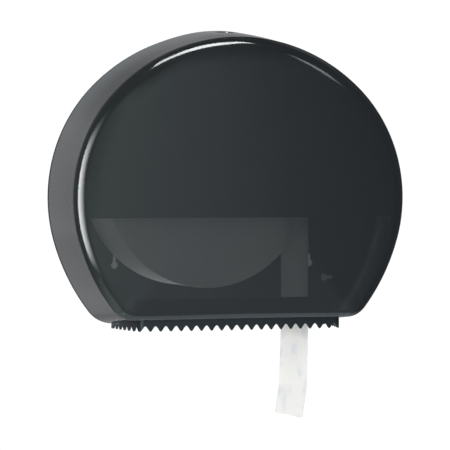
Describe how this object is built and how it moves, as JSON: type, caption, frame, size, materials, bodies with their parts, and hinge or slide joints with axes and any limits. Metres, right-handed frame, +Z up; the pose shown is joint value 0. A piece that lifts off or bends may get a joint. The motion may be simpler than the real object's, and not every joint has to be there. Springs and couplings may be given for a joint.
{
  "type": "jumbo toilet roll dispenser",
  "caption": "Wall-mounted D-shaped dispenser for a jumbo toilet roll, with a hinged smoke cover, a lock and a toothed tear edge under it.",
  "frame": {"origin": "on the wall plane at the back panel's rear face, on the plane of symmetry, at the level where the cover is widest", "axes": "+Z up, +Y into the wall, the front of the dispenser towards -Y"},
  "size_m": [0.4368, 0.133, 0.4742],
  "materials": {
    "chassis_plastic": "fine matte, moulded",
    "grey_plastic": "satin, moulded",
    "smoke_plastic": "high gloss, tinted, lets a little light through",
    "mask_plastic": "matte black backing",
    "comb_plastic": "matte with worn tips",
    "steel": "zinc plated",
    "lock_metal": "plated",
    "cardboard": "grey-brown spiral-wound board",
    "tissue": "soft two-ply tissue, finely embossed"
  },
  "bodies": {
    "root": {"rear_chassis": "chassis_plastic", "hinge_pins": "steel", "roll_spindle": "grey_plastic", "spindle_screws": "steel", "spindle_retainer": "steel", "stub_spindle": "grey_plastic", "stub_screws": "steel", "stub_retainer": "steel", "brake_spring": "steel", "brake_screw": "steel", "lock_housing": "grey_plastic", "lock_screws": "steel", "paper_tail": "tissue"},
    "roll": {"roll_hub": "grey_plastic", "roll_core": "cardboard", "paper_roll": "tissue"},
    "stub_sleeve": {"stub_hub": "grey_plastic"},
    "cover": {"front_cover": "smoke_plastic", "cover_mask": "mask_plastic", "tear_comb": "comb_plastic", "comb_screws": "steel", "cover_strike": "steel", "strike_screws": "steel"},
    "key_lock": {"lock_barrel": "lock_metal", "lock_cam": "steel", "cam_screw": "steel"}
  },
  "joints": [
    {"name": "cover_hinge", "type": "hinge", "parent": "root", "child": "cover", "pos_m": [0, -0.02, -0.141], "axis": [1, 0, 0], "range_deg": [0, 88], "deforming": ["paper_tail"]},
    {"name": "roll_spin", "type": "hinge", "parent": "root", "child": "roll", "pos_m": [-0.0414, -0.058, 0.0195], "axis": [0, 1, 0], "continuous": true},
    {"name": "stub_spin", "type": "hinge", "parent": "root", "child": "stub_sleeve", "pos_m": [0.146, -0.058, 0.042], "axis": [0, 1, 0], "continuous": true},
    {"name": "key_turn", "type": "hinge", "parent": "root", "child": "key_lock", "pos_m": [0, -0.052, 0.18], "axis": [0, 0, 1], "range_deg": [0, 90]}
  ]
}
